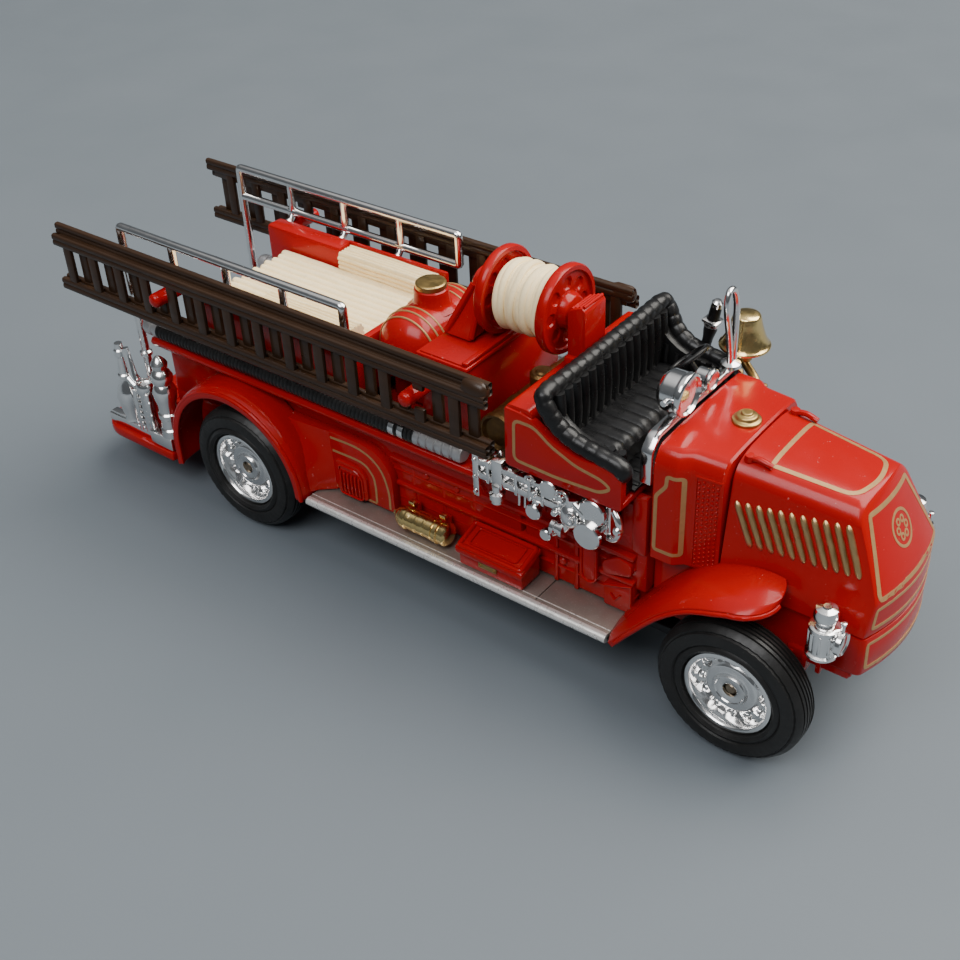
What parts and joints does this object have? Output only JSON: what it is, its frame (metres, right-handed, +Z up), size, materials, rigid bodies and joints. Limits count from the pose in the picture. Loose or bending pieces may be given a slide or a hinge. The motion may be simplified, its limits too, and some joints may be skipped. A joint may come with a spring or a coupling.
{
  "type": "toy fire engine",
  "caption": "Die-cast toy fire pumper of the vintage open-cab kind, with sloping hood, hose bed, tank, hose reel, plated pumps, rails, bell and clip-on ladders.",
  "frame": {"origin": "centre of the bounding box in plan, on the ground under the tyres", "axes": "+X forwards along the vehicle, +Y to the vehicle's left, +Z up"},
  "size_m": [0.116, 0.0304, 0.0447],
  "materials": {
    "red_paint": "gloss enamel",
    "black_base": "satin",
    "board_metal": "satin bronze grey",
    "ladder_plastic": "semi-gloss",
    "hose_cloth": "matt",
    "black_trim": "semi-gloss",
    "chrome_plate": "bright plated plastic",
    "gold_plate": "gold plated",
    "bronze_paint": "mottled bronze",
    "tyre_rubber": "satin",
    "hose_rubber": "satin",
    "axle_steel": "plain"
  },
  "bodies": {
    "engine": {"chassis_frame": "red_paint", "rear_fender_right": "red_paint", "rear_fender_left": "red_paint", "front_fender_right": "red_paint", "front_fender_left": "red_paint", "tailboard": "red_paint", "hose_body": "red_paint", "water_tank": "red_paint", "reel_locker": "red_paint", "reel_bracket_rear": "red_paint", "reel_bracket_front": "red_paint", "cab_body": "red_paint", "cowl": "red_paint", "hood": "red_paint", "front_apron": "red_paint", "toolbox_right": "red_paint", "toolbox_left": "red_paint", "base_plate": "black_base", "running_board_right": "board_metal", "running_board_left": "board_metal", "hose_load": "hose_cloth", "bench_seat": "black_trim", "steering_wheel": "black_trim", "hand_horn": "black_trim", "dash_trim": "chrome_plate", "searchlight": "chrome_plate", "grab_loop": "chrome_plate", "hand_rail_right": "chrome_plate", "hand_rail_left": "chrome_plate", "pump_right": "chrome_plate", "pump_left": "chrome_plate", "headlamp_right": "chrome_plate", "headlamp_left": "chrome_plate", "rear_fittings_right": "chrome_plate", "rear_fittings_left": "chrome_plate", "tank_cap": "gold_plate", "radiator_cap": "gold_plate", "bell": "gold_plate", "bell_bracket": "gold_plate", "extinguisher_right": "gold_plate", "extinguisher_left": "gold_plate", "fuel_barrel": "bronze_paint", "suction_hose_right": "hose_rubber", "suction_hose_left": "hose_rubber", "base_rivet_rear": "axle_steel", "base_rivet_front": "axle_steel"},
    "front_wheels": {"front_axle": "axle_steel", "front_wheel_right": "chrome_plate", "front_wheel_left": "chrome_plate", "front_tyre_right": "tyre_rubber", "front_tyre_left": "tyre_rubber"},
    "rear_wheels": {"rear_axle": "axle_steel", "rear_wheel_right": "chrome_plate", "rear_wheel_left": "chrome_plate", "rear_tyre_right": "tyre_rubber", "rear_tyre_left": "tyre_rubber"},
    "reel": {"hose_reel": "red_paint", "reel_hose": "hose_cloth"},
    "right_ladder": {"ladder_right": "ladder_plastic"},
    "left_ladder": {"ladder_left": "ladder_plastic"}
  },
  "joints": [
    {"name": "front_axle_spin", "type": "hinge", "parent": "engine", "child": "front_wheels", "pos_m": [0.04455, 0, 0.0088], "axis": [0, 1, 0], "continuous": true},
    {"name": "rear_axle_spin", "type": "hinge", "parent": "engine", "child": "rear_wheels", "pos_m": [-0.02745, 0, 0.0088], "axis": [0, 1, 0], "continuous": true},
    {"name": "reel_spin", "type": "hinge", "parent": "engine", "child": "reel", "pos_m": [0.01055, 0, 0.0395], "axis": [1, 0, 0], "continuous": true},
    {"name": "right_ladder_off", "type": "slide", "parent": "engine", "child": "right_ladder", "axis": [0, -1, 0], "range_m": [0, 0.012]},
    {"name": "left_ladder_off", "type": "slide", "parent": "engine", "child": "left_ladder", "axis": [0, 1, 0], "range_m": [0, 0.012]}
  ]
}
